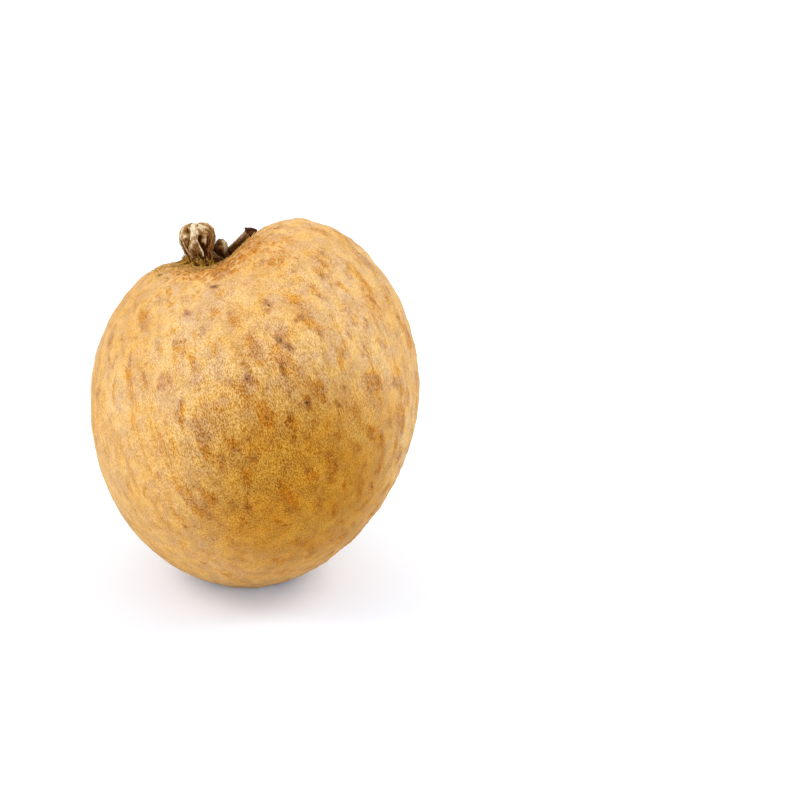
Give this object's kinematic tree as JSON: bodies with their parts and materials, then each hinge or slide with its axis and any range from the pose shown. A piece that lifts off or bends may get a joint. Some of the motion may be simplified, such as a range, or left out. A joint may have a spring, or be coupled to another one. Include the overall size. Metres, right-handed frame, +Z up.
{
  "type": "longan fruit",
  "caption": "Whole ripe longan with a warty tan rind, a dip at the stalk end and the broken woody stub of its stalk with a side twig, lying on its rounded underside.",
  "frame": {"origin": "middle of the small flat spot that the fruit rests on", "axes": "+Z up, +X to the right with the higher shoulder on that side, -Y to the front; the stalk leans to -X and +Y"},
  "size_m": [0.0277, 0.0284, 0.0309],
  "materials": {
    "rind": "matte, finely grained, tan with brown warts",
    "sepals": "dry, matte, yellow-green to brown",
    "woody_stalk": "rough dry wood, folded and cracked"
  },
  "bodies": {
    "root": {"fruit": "rind", "calyx": "sepals", "stalk": "woody_stalk"}
  },
  "joints": []
}
